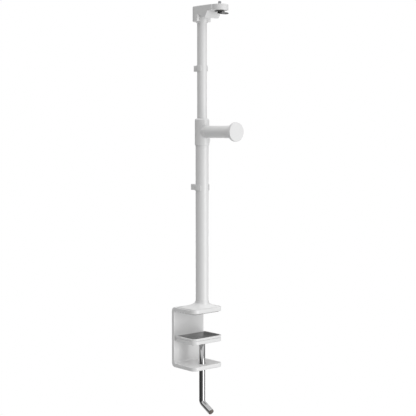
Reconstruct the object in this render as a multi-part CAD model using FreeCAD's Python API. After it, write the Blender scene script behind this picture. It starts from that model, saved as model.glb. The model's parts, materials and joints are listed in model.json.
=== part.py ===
import FreeCAD, Part
import math
import os

# Desk-clamp telescopic pole with a swivelling device head.
# Frame: +Z up, -Y is the front (arms, handle and head point that way), X is across.
# Origin: on the pole's axis, on the underside of the pad that sits on the desk top.
# All sizes are in millimetres.

Vec = FreeCAD.Vector
X_AXIS = Vec(1, 0, 0)
Y_AXIS = Vec(0, 1, 0)
Z_AXIS = Vec(0, 0, 1)

# --- clamp bracket -----------------------------------------------------------
clamp_half_width = 39.5
clamp_front_y = -20.5
clamp_back_y = 40.0
plate_thick = 7.5
arm_thick = 8.2
clear_height = 104.6
bend_outer_r = 8.5
bend_inner_r = 2.0
arm_corner_r = 11.0
cast_edge_r = 1.4
desk_pad_thick = 1.5
desk_pad_inset = 5.0

# --- moving jaw --------------------------------------------------------------
jaw_gap = 48.6
jaw_back_y = 36.0
jaw_rim_height = 4.2
jaw_groove = 0.9
jaw_body_height = 7.0
jaw_pad_inset = 3.4
jaw_pad_depth = 2.0
jaw_pad_proud = 0.2
jaw_corner_r = 11.0
jaw_rear_corner_r = 4.0
jaw_screw_x = 27.0
jaw_screw_ys = (-8.0, 24.0)

# --- spindle -----------------------------------------------------------------
spindle_r = 6.0
spindle_run = 0.05
spindle_bend_z = -175.5
spindle_bend_r = 9.0
spindle_arm_length = 34.0
spindle_arm_tilt = 61.0
spindle_neck_r = 4.6
nut_r = 8.0
nut_nose_r = 7.2
nut_nose_drop = 2.5

# --- lower pole --------------------------------------------------------------
lower_tube_r = 12.7
lower_tube_wall = 1.6
foot_neck_r = 13.8
foot_neck_top = 23.1
foot_plate_thick = 1.0
foot_dish_r = 30.0
foot_inset = 2.4

# --- lock collar and handle --------------------------------------------------
collar_r = 14.1
collar_low_z = 330.6
collar_high_z = 383.3
collar_step_z = 346.0
handle_z = 357.1
handle_boss_r = 12.1
handle_boss_end = 18.5
handle_root_r = 12.05
handle_tip_r = 12.5
handle_waist_r = 11.85
handle_flange_y = -93.4
handle_face_y = -99.8
handle_flange_r = 18.5
handle_stud_r = 4.0
handle_stud_y = -61.5
spigot_r = 3.0
spigot_y = -80.5
shoe_r = 6.9
shoe_front_y = -13.4
clamp_boss_z = 340.4
clamp_boss_r = 6.0
clamp_boss_x = 16.4

# --- upper pole --------------------------------------------------------------
upper_tube_r = 9.525
upper_tube_wall = 1.5
upper_tube_low_z = 150.0
upper_tube_high_z = 588.0
slide_run = 0.05
slider_length = 30.0
insert_length = 24.0

# --- cable clips -------------------------------------------------------------
clip_thick = 1.8
clip_mouth_deg = 56.0
lower_clip_z = 248.2
upper_clip_z = 480.8
clip_height = 11.5
clip_lug_height = 8.6
clip_lug_width = 8.0
lower_clip_lug_y = 31.5
upper_clip_lug_y = 22.5

# --- swivel head -------------------------------------------------------------
head_half_width = 18.2
swivel_collar_r = 12.0
swivel_collar_low_z = 568.6
swivel_collar_high_z = 580.6
block_low_z = 575.2
block_high_z = 583.3
platform_low_z = 588.4
platform_high_z = 599.9
block_front_low = 28.0
block_front_high = 36.0
stud_y = -51.2
platform_end_r = 16.6
tongue_front_y = -5.5
cap_r = 10.0
cap_thick = 3.0
bolt_head_r = 6.5
bolt_head_thick = 3.0
washer_r = 9.1
washer_thick = 1.4
washer_gap = 0.1
bolt_r = 3.0
tongue_low_z = 570.6
lock_screw_z = 574.2
device_stud_r = 3.175
device_stud_top = 606.0
stud_neck_r = 2.6
wheel_r = 9.6
wheel_low_z = 585.6
wheel_high_z = 587.6
ring_z = 584.3
ring_wire_r = 1.0
ring_reach = 16.5
ring_half_width = 9.5
ring_droop = 5.0
ring_turn = 65.0


def save(shape, node):
    """Write one sub-part to its own STEP file."""
    shape.exportStep("parts/" + node + ".step")


def box(x0, x1, y0, y1, z0, z1):
    return Part.makeBox(x1 - x0, y1 - y0, z1 - z0, Vec(x0, y0, z0))


def post(radius, z0, z1, x=0.0, y=0.0):
    """Upright cylinder between two heights."""
    return Part.makeCylinder(radius, z1 - z0, Vec(x, y, z0), Z_AXIS)


def pipe(outer, inner, z0, z1, x=0.0, y=0.0):
    return post(outer, z0, z1, x, y).cut(post(inner, z0 - 1, z1 + 1, x, y))


def rod_y(radius, y0, y1, z, x=0.0):
    """Cylinder along Y, from y0 back to y1."""
    return Part.makeCylinder(radius, y1 - y0, Vec(x, y0, z), Y_AXIS)


def rod_x(radius, x0, x1, y, z):
    return Part.makeCylinder(radius, x1 - x0, Vec(x0, y, z), X_AXIS)


def turned(points, axis_dir=Z_AXIS, base=Vec(0, 0, 0)):
    """Solid of revolution about Z from (radius, height) points, then laid along axis_dir."""
    corners = [Vec(radius, 0, height) for radius, height in points]
    wire = Part.makePolygon(corners + corners[:1])
    solid = Part.Face(wire).revolve(Vec(0, 0, 0), Z_AXIS, 360)
    return laid(solid, axis_dir, base)


def laid(solid, axis_dir, base):
    """Turn a solid built on Z so that its axis is axis_dir, and move it to base."""
    solid.Placement = FreeCAD.Placement(base, FreeCAD.Rotation(Z_AXIS, axis_dir))
    return solid


def hex_socket(across, depth, axis_dir, base):
    """Hexagonal recess, a prism whose mouth is at base and which goes down -axis_dir."""
    radius = across / math.sqrt(3.0)
    corners = []
    for k in range(7):
        angle = math.radians(60 * k)
        corners.append(Vec(radius * math.cos(angle), radius * math.sin(angle), -depth))
    prism = Part.Face(Part.makePolygon(corners)).extrude(Vec(0, 0, depth + 1))
    return laid(prism, axis_dir, base)


def upright_edges(shape, inside):
    """Vertical edges whose middle passes the test inside(point)."""
    found = []
    for edge in shape.Edges:
        ends = [v.Point for v in edge.Vertexes]
        if len(ends) == 2 and (ends[0] - ends[1]).cross(Z_AXIS).Length < 1e-6:
            middle = (ends[0] + ends[1]) * 0.5
            if inside(middle):
                found.append(edge)
    return found


def plan_plate(x_half, y0, y1, z0, z1, front_r, rear_r):
    """Flat plate with rounded front and rear corners in plan."""
    plate = box(-x_half, x_half, y0, y1, z0, z1)
    plate = plate.makeFillet(front_r, upright_edges(plate, lambda p: p.y < y0 + 0.01))
    return plate.makeFillet(rear_r, upright_edges(plate, lambda p: p.y > y1 - 0.01))


def soften(shape, radius, z):
    """Round every edge that lies flat at height z."""
    edges = [e for e in shape.Edges
             if abs(e.BoundBox.ZMin - z) < 1e-4 and abs(e.BoundBox.ZMax - z) < 1e-4]
    return shape.makeFillet(radius, edges)


# =============================================================================
# Clamp: bracket, pads, jaw and spindle
# =============================================================================
arm_under_z = desk_pad_thick
arm_top_z = arm_under_z + arm_thick
low_arm_top_z = arm_under_z - clear_height
low_arm_bottom_z = low_arm_top_z - arm_thick
clamp_rear_y = clamp_back_y + plate_thick
jaw_top_z = arm_under_z - jaw_gap
jaw_rim_low_z = jaw_top_z - jaw_rim_height
jaw_body_top_z = jaw_rim_low_z - jaw_groove
jaw_body_low_z = jaw_body_top_z - jaw_body_height


def clamp_bracket():
    """C-shaped casting: the top arm carries the pole, the lower arm carries the nut."""
    outer = box(-clamp_half_width, clamp_half_width, clamp_front_y, clamp_rear_y,
                low_arm_bottom_z, arm_top_z)
    bends = [e for e in outer.Edges
             if abs(e.BoundBox.YMin - clamp_rear_y) < 1e-6 and e.BoundBox.XLength > 1]
    outer = outer.makeFillet(bend_outer_r, bends)
    throat = box(-clamp_half_width - 1, clamp_half_width + 1, clamp_front_y - 1, clamp_back_y,
                 low_arm_top_z, arm_under_z)
    inner = [e for e in throat.Edges
             if abs(e.BoundBox.YMin - clamp_back_y) < 1e-6 and e.BoundBox.XLength > 1]
    body = outer.cut(throat.makeFillet(bend_inner_r, inner))
    body = body.makeFillet(arm_corner_r, upright_edges(body, lambda p: p.y < clamp_front_y + 0.01))
    body = round_casting(body)
    body = body.cut(post(4.2, arm_under_z - 1, arm_top_z + 1))
    body = body.cut(Part.makeCone(8.4, 4.2, 4.2, Vec(0, 0, arm_under_z), Z_AXIS))
    body = body.cut(post(spindle_r + 0.6, low_arm_bottom_z - 1, low_arm_top_z + 1))
    return body.cut(post(nut_r, low_arm_bottom_z - 1, low_arm_top_z - 1.2))


def round_casting(body):
    """Small radius along the outlines of both side faces and both arm fronts."""
    nose_end_y = clamp_front_y + arm_corner_r + 0.01
    bend_start_y = clamp_back_y - bend_inner_r - 0.01

    def is_outline(edge):
        span = edge.BoundBox
        on_side = abs(abs(span.Center.x) - clamp_half_width) < 1e-4 and span.XLength < 1e-4
        on_front = span.YMax < nose_end_y and span.ZLength < 1e-4
        inner_bend = span.YMax < clamp_back_y + 0.01 and span.YMin > bend_start_y
        corner_line = span.ZLength > 1 and span.YLength < 1e-4 and span.YMin < nose_end_y
        return not corner_line and ((on_side and not inner_bend) or on_front)

    return body.makeFillet(cast_edge_r, [e for e in body.Edges if is_outline(e)])


def desk_pad():
    pad = plan_plate(clamp_half_width - desk_pad_inset, clamp_front_y + desk_pad_inset,
                     clamp_back_y - 2 * desk_pad_inset, 0.0, arm_under_z, 7.0, 3.0)
    return soften(pad, 0.5, 0.0)


def foot_bolt():
    """Countersunk socket bolt that pulls the pole's plug down onto the top arm."""
    bolt = Part.makeCone(8.2, 4.0, 4.2, Vec(0, 0, arm_under_z + 0.05), Z_AXIS)
    bolt = bolt.fuse(post(4.0, arm_under_z + 4.0, 34.0))
    return bolt.cut(hex_socket(5.0, 3.0, Vec(0, 0, -1), Vec(0, 0, arm_under_z + 0.05)))


def spindle_nut():
    """Threaded bush pressed into the lower arm from below."""
    nut = post(nut_r, low_arm_bottom_z, low_arm_top_z - 1.2)
    nose_low = low_arm_bottom_z - nut_nose_drop
    nut = nut.fuse(Part.makeCone(nut_nose_r - 0.6, nut_nose_r, 0.6, Vec(0, 0, nose_low), Z_AXIS))
    nut = nut.fuse(post(nut_nose_r, nose_low + 0.6, low_arm_bottom_z))
    return nut.cut(post(spindle_r + spindle_run, nose_low - 1, low_arm_top_z))


def jaw_rim():
    """Upper jaw plate, with a shallow tray for the rubber pad."""
    rim = plan_plate(clamp_half_width, clamp_front_y, jaw_back_y, jaw_rim_low_z, jaw_top_z,
                     jaw_corner_r, jaw_rear_corner_r)
    rim = soften(rim, 1.2, jaw_top_z)
    tray = plan_plate(clamp_half_width - jaw_pad_inset, clamp_front_y + jaw_pad_inset,
                      jaw_back_y - jaw_pad_inset, jaw_top_z - jaw_pad_depth, jaw_top_z + 1,
                      jaw_corner_r - jaw_pad_inset, 2.0)
    rim = rim.cut(tray)
    for x in (-jaw_screw_x, jaw_screw_x):
        for y in jaw_screw_ys:
            rim = rim.cut(post(1.5, jaw_rim_low_z - 1, jaw_top_z - jaw_pad_depth + 1, x, y))
    return rim


def jaw_pad():
    pad = plan_plate(clamp_half_width - jaw_pad_inset, clamp_front_y + jaw_pad_inset,
                     jaw_back_y - jaw_pad_inset, jaw_top_z - jaw_pad_depth, jaw_top_z + jaw_pad_proud,
                     jaw_corner_r - jaw_pad_inset, 2.0)
    return soften(pad, 0.5, jaw_top_z + jaw_pad_proud)


def jaw_body():
    """Lower jaw plate, with a raised land under the rim and the spindle's socket."""
    body = plan_plate(clamp_half_width, clamp_front_y, jaw_back_y, jaw_body_low_z, jaw_body_top_z,
                      jaw_corner_r, jaw_rear_corner_r)
    body = soften(body, 1.4, jaw_body_low_z)
    body = soften(body, 0.5, jaw_body_top_z)
    body = body.fuse(plan_plate(clamp_half_width - 1.6, clamp_front_y + 1.6, jaw_back_y - 1.6,
                                jaw_body_top_z - 0.2, jaw_rim_low_z, jaw_corner_r - 1.6, 3.0))
    body = body.cut(post(spindle_neck_r + 0.08, jaw_body_low_z - 1, jaw_rim_low_z + 1))
    body = body.cut(post(9.0, jaw_body_low_z + 3.2, jaw_rim_low_z + 1))
    for x in (-jaw_screw_x, jaw_screw_x):
        for y in jaw_screw_ys:
            body = body.cut(post(1.7, jaw_body_low_z - 1, jaw_rim_low_z + 1, x, y))
            body = body.cut(post(3.2, jaw_body_low_z - 1, jaw_body_low_z + 3.0, x, y))
    return body


def jaw_screws():
    """Four cap screws from below that hold the rim plate on the jaw body."""
    solids = []
    for x in (-jaw_screw_x, jaw_screw_x):
        for y in jaw_screw_ys:
            head_low = jaw_body_low_z + 0.4
            screw = post(3.1, head_low, jaw_body_low_z + 3.0, x, y)
            screw = screw.fuse(post(1.5, jaw_body_low_z + 3.0, jaw_top_z - jaw_pad_depth - 0.3, x, y))
            solids.append(screw.cut(hex_socket(2.5, 1.4, Vec(0, 0, -1), Vec(x, y, head_low))))
    return Part.makeCompound(solids)


def thrust_washer():
    """Bronze washer between the spindle's shoulder and the jaw."""
    return pipe(8.6, spindle_neck_r + 0.1, jaw_body_low_z - 0.9, jaw_body_low_z - 0.1)


def spindle():
    """Clamp screw: plain neck and head in the jaw, straight shank, and a bent tommy arm."""
    shoulder_z = jaw_body_low_z - 1.0
    head_low = jaw_body_low_z + 4.3
    shank = post(spindle_r, spindle_bend_z, shoulder_z)
    neck = post(spindle_neck_r, shoulder_z - 0.5, head_low + 2.6)
    groove = pipe(spindle_neck_r + 1, spindle_neck_r - 0.9, jaw_body_low_z + 3.35, head_low)
    body = shank.fuse(neck.cut(groove))
    return body.fuse(bent_arm()).removeSplitter()


def bent_arm():
    """The shank's lower end turns forward through the tilt angle and runs straight to its end."""
    tilt = math.radians(spindle_arm_tilt)
    start = Vec(0, 0, spindle_bend_z)

    def on_bend(angle):
        return start + Vec(0, -spindle_bend_r * (1 - math.cos(angle)), -spindle_bend_r * math.sin(angle))

    arc = Part.Arc(start, on_bend(tilt / 2), on_bend(tilt)).toShape()
    path = Part.Wire([arc, Part.makeLine(on_bend(tilt), spindle_arm_end())])
    section = Part.Wire(Part.makeCircle(spindle_r, start, Z_AXIS))
    return path.makePipeShell([section], True, True)


def spindle_arm_dir():
    tilt = math.radians(spindle_arm_tilt)
    return Vec(0, -math.sin(tilt), -math.cos(tilt))


def spindle_arm_end():
    tilt = math.radians(spindle_arm_tilt)
    bend_end = Vec(0, -spindle_bend_r * (1 - math.cos(tilt)),
                   spindle_bend_z - spindle_bend_r * math.sin(tilt))
    return bend_end + spindle_arm_dir() * (spindle_arm_length - spindle_bend_r)


def spindle_plug():
    """Domed plug on the end of the tommy arm."""
    profile = [(0, 0), (5.6, 0), (5.6, 1.4), (4.6, 2.3), (2.6, 2.8), (0, 3.0)]
    return turned(profile, spindle_arm_dir(), spindle_arm_end())


def spindle_circlip():
    """Ring in the spindle's groove that stops the jaw lifting off."""
    ring = pipe(7.0, spindle_neck_r - 0.85, jaw_body_low_z + 3.35, jaw_body_low_z + 4.15)
    return ring.cut(box(-1.6, 1.6, 0, 9, jaw_body_low_z, jaw_top_z))


# =============================================================================
# Lower pole, lock collar and handle
# =============================================================================
def pole_foot():
    """Dished plate on the top arm that sweeps up into the neck round the tube."""
    base_z = arm_top_z
    lip_z = base_z + foot_plate_thick
    plate = plan_plate(clamp_half_width - foot_inset, clamp_front_y + foot_inset,
                       clamp_back_y - 2 * foot_inset, base_z, lip_z, arm_corner_r - foot_inset, 5.0)
    steps = 8
    sweep = [(0, base_z), (foot_dish_r, base_z), (foot_dish_r, lip_z - 0.1)]
    for k in range(1, steps + 1):
        angle = math.radians(90.0 * k / steps)
        radius = foot_neck_r + (foot_dish_r - foot_neck_r) * (1 - math.sin(angle)) ** 1.35
        height = lip_z + (foot_neck_top - lip_z) * (1 - math.cos(angle)) ** 1.5
        sweep.append((radius, height))
    sweep.append((0, foot_neck_top))
    flare = turned(sweep)
    half_depth = min(foot_dish_r, -clamp_front_y - foot_inset - 0.2)
    trim = box(-foot_dish_r, foot_dish_r, -half_depth, foot_dish_r, base_z, foot_neck_top + 1)
    foot = plate.fuse(flare.common(trim))
    foot = foot.cut(post(lower_tube_r, base_z + 1.5, foot_neck_top + 1))
    return foot.cut(post(4.2, base_z - 1, base_z + 3))


def foot_plug():
    """Steel plug in the tube's lower end that the foot bolt screws into."""
    inner = lower_tube_r - lower_tube_wall
    return post(inner, arm_top_z + 1.5, 42.0).cut(post(4.0, arm_top_z, 36.0))


def lower_tube():
    return pipe(lower_tube_r, lower_tube_r - lower_tube_wall, arm_top_z + 1.5, collar_step_z)


def guide_bush():
    """Plastic bush in the top of the lower tube that the upper tube slides through."""
    return pipe(lower_tube_r - lower_tube_wall, upper_tube_r + slide_run, collar_step_z - 36, collar_step_z)


def lock_collar():
    """Casting over the tube joint, with the handle's boss in front and a clamp boss at the side."""
    body = soften(soften(post(collar_r, collar_low_z, collar_high_z), 3.6, collar_high_z), 0.8, collar_low_z)
    boss = rod_y(handle_boss_r, -handle_boss_end, 0, handle_z)
    rim = [e for e in boss.Edges if abs(e.BoundBox.YMax + handle_boss_end) < 1e-4]
    boss = boss.makeFillet(1.2, rim)
    side = rod_x(clamp_boss_r, 0, clamp_boss_x, 0, clamp_boss_z)
    body = body.fuse([boss, side])
    body = body.cut(post(lower_tube_r, collar_low_z - 1, collar_step_z))
    body = body.cut(post(upper_tube_r + slide_run, collar_low_z, collar_high_z + 1))
    body = body.cut(rod_y(handle_stud_r + 0.08, -handle_boss_end - 1, 0, handle_z))
    body = body.cut(rod_y(shoe_r + 0.1, shoe_front_y - 0.6, 0, handle_z))
    body = body.cut(rod_x(2.5, 0, clamp_boss_x + 1, 0, clamp_boss_z))
    return body.cut(rod_x(4.4, clamp_boss_x - 1.6, clamp_boss_x + 1, 0, clamp_boss_z))


def collar_clamp_screw():
    """Low-head socket screw that fixes the collar to the lower tube."""
    tip_x = lower_tube_r + 0.05
    screw = rod_x(2.5, tip_x, clamp_boss_x - 1.6, 0, clamp_boss_z)
    screw = screw.fuse(rod_x(4.3, clamp_boss_x - 1.6, clamp_boss_x - 0.2, 0, clamp_boss_z))
    return screw.cut(hex_socket(3.0, 1.8, X_AXIS, Vec(clamp_boss_x - 0.2, 0, clamp_boss_z)))


def brake_shoe():
    """Friction shoe between the handle's stud and the upper tube."""
    shoe = rod_y(shoe_r, shoe_front_y, -6.0, handle_z)
    return shoe.cut(post(upper_tube_r + slide_run, handle_z - 10, handle_z + 10))


def handle_washer():
    ring = rod_y(11.2, -handle_boss_end - 0.6, -handle_boss_end - 0.1, handle_z)
    return ring.cut(rod_y(handle_stud_r + 0.05, -handle_boss_end - 2, 0, handle_z))


def handle_grip():
    """Round grip, slightly waisted, that unlocks the telescope when it is turned."""
    root_y = -handle_boss_end - 0.7
    length = root_y - handle_flange_y
    outline = [Vec(handle_root_r, 0, 0), Vec(handle_waist_r, 0, length * 0.34),
               Vec(handle_tip_r, 0, length)]
    curve = Part.BSplineCurve()
    curve.interpolate(outline)
    edges = [curve.toShape(), Part.makeLine(outline[2], Vec(0, 0, length)),
             Part.makeLine(Vec(0, 0, length), Vec(0, 0, 0)), Part.makeLine(Vec(0, 0, 0), outline[0])]
    grip = Part.Face(Part.Wire(edges)).revolve(Vec(0, 0, 0), Z_AXIS, 360)
    grip = laid(grip, Vec(0, -1, 0), Vec(0, root_y, handle_z))
    root = [e for e in grip.Edges
            if e.BoundBox.YLength < 1e-4 and abs(e.BoundBox.YMax - root_y) < 1e-3]
    grip = grip.makeFillet(1.0, root)
    grip = grip.cut(rod_y(handle_stud_r, handle_stud_y - 0.5, 0, handle_z))
    return grip.cut(rod_y(spigot_r, handle_flange_y - 1, spigot_y + 0.5, handle_z))


def handle_flange():
    """Round end stop of the handle, with a spigot that is pressed into the grip."""
    disc = rod_y(handle_flange_r, handle_face_y, handle_flange_y, handle_z)
    rims = [e for e in disc.Edges if e.BoundBox.YLength < 1e-4]
    disc = disc.makeFillet(1.3, rims)
    return disc.fuse(rod_y(spigot_r, handle_flange_y - 1, spigot_y, handle_z))


def handle_stud():
    """Screw fixed in the grip, whose inner end presses the brake shoe."""
    stud = rod_y(handle_stud_r, handle_stud_y, shoe_front_y - 0.3, handle_z)
    return stud.makeChamfer(0.6, [e for e in stud.Edges if e.BoundBox.YLength < 1e-4])


def cable_clip(tube_r, centre_z, lug_y):
    """Snap-on clip: an open band with rolled lips in front and a tie lug behind."""
    inner = tube_r + slide_run
    outer = inner + clip_thick
    low, high = centre_z - clip_height / 2, centre_z + clip_height / 2
    band = pipe(outer, inner, low, high)
    mouth = math.radians(clip_mouth_deg)
    reach = 3 * outer
    apex = Vec(0, 0, low - 1)
    right = Vec(reach * math.sin(mouth), -reach * math.cos(mouth), low - 1)
    left = Vec(-right.x, right.y, low - 1)
    wedge = Part.makePolygon([apex, right, Vec(0, -reach, low - 1), left, apex])
    band = band.cut(Part.Face(wedge).extrude(Vec(0, 0, clip_height + 2)))
    lip_r = clip_thick * 0.62
    lip_at = inner + lip_r
    for side in (-1, 1):
        band = band.fuse(post(lip_r, low + 0.5, high - 0.5, side * lip_at * math.sin(mouth),
                              -lip_at * math.cos(mouth)))
    half = clip_lug_width / 2
    lug_low, lug_high = centre_z - clip_lug_height / 2, centre_z + clip_lug_height / 2
    lug = box(-half * 0.62, half * 0.62, inner + clip_thick / 2, lug_y - half, lug_low, lug_high)
    bulb = post(half, lug_low, lug_high, 0, lug_y - half)
    bulb = soften(soften(bulb, 1.6, lug_low), 1.6, lug_high)
    return band.fuse([lug, bulb])


# =============================================================================
# Upper pole and head
# =============================================================================
cap_low_z = platform_high_z - cap_thick
bolt_head_high_z = cap_low_z - 0.4
bolt_head_low_z = bolt_head_high_z - bolt_head_thick
nylon_high_z = bolt_head_low_z - washer_gap
nylon_low_z = nylon_high_z - washer_thick
seat_high_z = nylon_low_z - washer_gap
seat_low_z = seat_high_z - washer_thick


def upper_tube():
    return pipe(upper_tube_r, upper_tube_r - upper_tube_wall, upper_tube_low_z, upper_tube_high_z)


def slider_bush():
    """Split sleeve on the foot of the upper tube that runs in the lower tube."""
    runner_r = lower_tube_r - lower_tube_wall - slide_run
    return pipe(runner_r, upper_tube_r, upper_tube_low_z, upper_tube_low_z + slider_length)


def tube_end_plug():
    plug = post(upper_tube_r - upper_tube_wall, upper_tube_low_z, upper_tube_low_z + 10)
    return plug.fuse(post(upper_tube_r, upper_tube_low_z - 1.5, upper_tube_low_z))


def swivel_insert():
    """Threaded insert in the top of the upper tube."""
    inner = upper_tube_r - upper_tube_wall
    return pipe(inner, bolt_r, upper_tube_high_z - insert_length, upper_tube_high_z)


def swivel_collar():
    """Ring fixed to the upper tube that the head sits and turns on."""
    ring = pipe(swivel_collar_r, upper_tube_r, swivel_collar_low_z, swivel_collar_high_z)
    outer_low = [e for e in ring.Edges
                 if e.BoundBox.ZLength < 1e-4
                 and e.BoundBox.XLength > 2 * swivel_collar_r - 0.1
                 and abs(e.BoundBox.ZMin - swivel_collar_low_z) < 1e-4]
    return ring.makeFillet(0.9, outer_low)


def swivel_bolt():
    """Bolt down the head's centre into the insert: the head turns under its flange."""
    bolt = post(bolt_r, upper_tube_high_z - insert_length + 2.0, bolt_head_low_z)
    bolt = bolt.fuse(post(bolt_head_r, bolt_head_low_z, bolt_head_high_z))
    return bolt.cut(hex_socket(5.0, 2.2, Z_AXIS, Vec(0, 0, bolt_head_high_z)))


def friction_washer():
    return pipe(washer_r - 0.1, bolt_r + 0.1, nylon_low_z, nylon_high_z)


def head_block():
    """Lower block of the head: half-round at the back, sloping underside, leaning front."""
    low, high = block_low_z, platform_low_z
    side = [Vec(0, 0, block_high_z), Vec(0, tongue_front_y, block_high_z),
            Vec(0, -block_front_low, low), Vec(0, -block_front_high, high),
            Vec(0, 0, high), Vec(0, 0, block_high_z)]
    prism = Part.Face(Part.makePolygon(side)).extrude(Vec(2 * head_half_width, 0, 0))
    prism.translate(Vec(-head_half_width, 0, 0))
    block = prism.fuse(post(head_half_width, block_high_z, high))
    lower_front = [e for e in block.Edges
                   if abs(e.BoundBox.YMin + block_front_low) < 1e-3
                   and abs(e.BoundBox.ZMax - low) < 1e-3
                   and e.BoundBox.XLength > head_half_width]
    return block.makeFillet(3.0, lower_front)


def head_platform():
    """Flat bar on top that overhangs to the front, with a round nose about the stud."""
    low, high = platform_low_z, platform_high_z
    bar = box(-head_half_width, head_half_width, stud_y + 4, 0, low, high)
    bar = bar.fuse(post(head_half_width, low, high))
    nose = post(platform_end_r, low, high, 0, stud_y)
    cheeks = box(-platform_end_r, platform_end_r, stud_y, stud_y + 6, low, high)
    return soften(bar.fuse([nose, cheeks]).removeSplitter(), 1.0, high)


def lock_tongue():
    """Skirt round the back of the swivel collar, bored for the lock screw."""
    skirt = post(head_half_width, tongue_low_z, block_high_z)
    cheeks = box(-head_half_width, head_half_width, tongue_front_y, 0, tongue_low_z, block_high_z)
    tongue = skirt.common(box(-head_half_width, head_half_width, 0, head_half_width,
                              tongue_low_z, block_high_z))
    tongue = soften(tongue.fuse(cheeks).removeSplitter(), 1.4, tongue_low_z)
    tongue = tongue.cut(post(swivel_collar_r + 0.3, tongue_low_z - 1, block_high_z + 0.01))
    return tongue.cut(rod_y(2.5, 10, 30, lock_screw_z))


def head_housing():
    """Casting with the swivel bore, the overhanging platform and the lock tongue behind."""
    head = head_block().fuse([head_platform(), lock_tongue()]).removeSplitter()
    head = head.cut(post(upper_tube_r + slide_run, block_low_z - 1, seat_low_z - 0.1))
    head = head.cut(post(washer_r + 0.1, seat_low_z - 0.2, cap_low_z - 0.1))
    head = head.cut(post(cap_r, cap_low_z - 0.2, platform_high_z + 1))
    return head.cut(post(stud_neck_r + 0.08, platform_low_z - 1, platform_high_z + 1, 0, stud_y))


def head_cap():
    """Flush cap over the swivel bolt."""
    cap = post(cap_r - 0.03, cap_low_z, platform_high_z)
    return soften(cap, 0.4, platform_high_z)


def washer_seat():
    """Flat steel ring that closes the swivel bore and carries the friction washer."""
    return pipe(washer_r, bolt_r + 0.1, seat_low_z, seat_high_z)


def swivel_lock_screw():
    """Socket set screw through the tongue that holds the head's angle."""
    screw = rod_y(2.5, swivel_collar_r + 0.3, head_half_width - 0.6, lock_screw_z)
    return screw.cut(hex_socket(2.5, 2.0, Y_AXIS, Vec(0, head_half_width - 0.6, lock_screw_z)))


def mount_stud():
    """Captive device screw: threaded tip above the platform, thin neck through it."""
    tip = post(device_stud_r, platform_high_z + 0.3, device_stud_top, 0, stud_y)
    tip = tip.makeChamfer(0.5, [e for e in tip.Edges if abs(e.BoundBox.ZMin - device_stud_top) < 1e-4])
    return tip.fuse(post(stud_neck_r, wheel_low_z + 0.5, platform_high_z + 0.3, 0, stud_y))


def thumb_wheel():
    """Knurled wheel under the platform, with a hub that holds the folding ring."""
    wheel = post(wheel_r, wheel_low_z, wheel_high_z, 0, stud_y)
    count = 30
    for k in range(count):
        angle = 2 * math.pi * k / count
        notch = post(0.45, wheel_low_z - 1, wheel_high_z + 1, wheel_r * math.cos(angle),
                     stud_y + wheel_r * math.sin(angle))
        wheel = wheel.cut(notch)
    wheel = wheel.fuse(post(4.4, ring_z - 1.9, wheel_low_z, 0, stud_y))
    wheel = wheel.cut(post(stud_neck_r, wheel_low_z + 0.5, wheel_high_z + 1, 0, stud_y))
    bore = Part.makeCylinder(ring_wire_r + 0.06, 20, Vec(-10, 0, 0), X_AXIS)
    return wheel.cut(on_ring_axis(bore))


def wheel_washer():
    return pipe(6.5, stud_neck_r + 0.05, wheel_high_z, wheel_high_z + 0.5, 0, stud_y)


def on_ring_axis(shape):
    """Place a shape built round the origin, hinge along X, at the ring's hinge."""
    shape.rotate(Vec(0, 0, 0), Z_AXIS, ring_turn)
    shape.translate(Vec(0, stud_y, ring_z))
    return shape


def d_ring():
    """Folding wire loop: a straight hinge bar through the hub and a D-shaped bow."""
    corner = 3.0
    half, reach = ring_half_width, ring_reach
    tip = reach - half
    points = [Vec(-half + corner, 0, 0), Vec(-half, corner, 0)]
    bar = Part.makeLine(Vec(half - corner, 0, 0), Vec(-half + corner, 0, 0))
    bend = corner * (1 - math.sqrt(0.5))
    left_corner = Part.Arc(points[0], Vec(-half + bend, bend, 0), points[1]).toShape()
    left = Part.makeLine(points[1], Vec(-half, tip, 0))
    bow = Part.Arc(Vec(-half, tip, 0), Vec(0, reach, 0), Vec(half, tip, 0)).toShape()
    right = Part.makeLine(Vec(half, tip, 0), Vec(half, corner, 0))
    right_corner = Part.Arc(Vec(half, corner, 0), Vec(half - bend, bend, 0),
                            Vec(half - corner, 0, 0)).toShape()
    path = Part.Wire([bar, left_corner, left, bow, right, right_corner])
    section = Part.Wire(Part.makeCircle(ring_wire_r, Vec(half - corner, 0, 0), X_AXIS))
    loop = path.makePipeShell([section], True, False)
    loop.rotate(Vec(0, 0, 0), Z_AXIS, 180)
    loop.rotate(Vec(0, 0, 0), X_AXIS, ring_droop)
    return on_ring_axis(loop)


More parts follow.
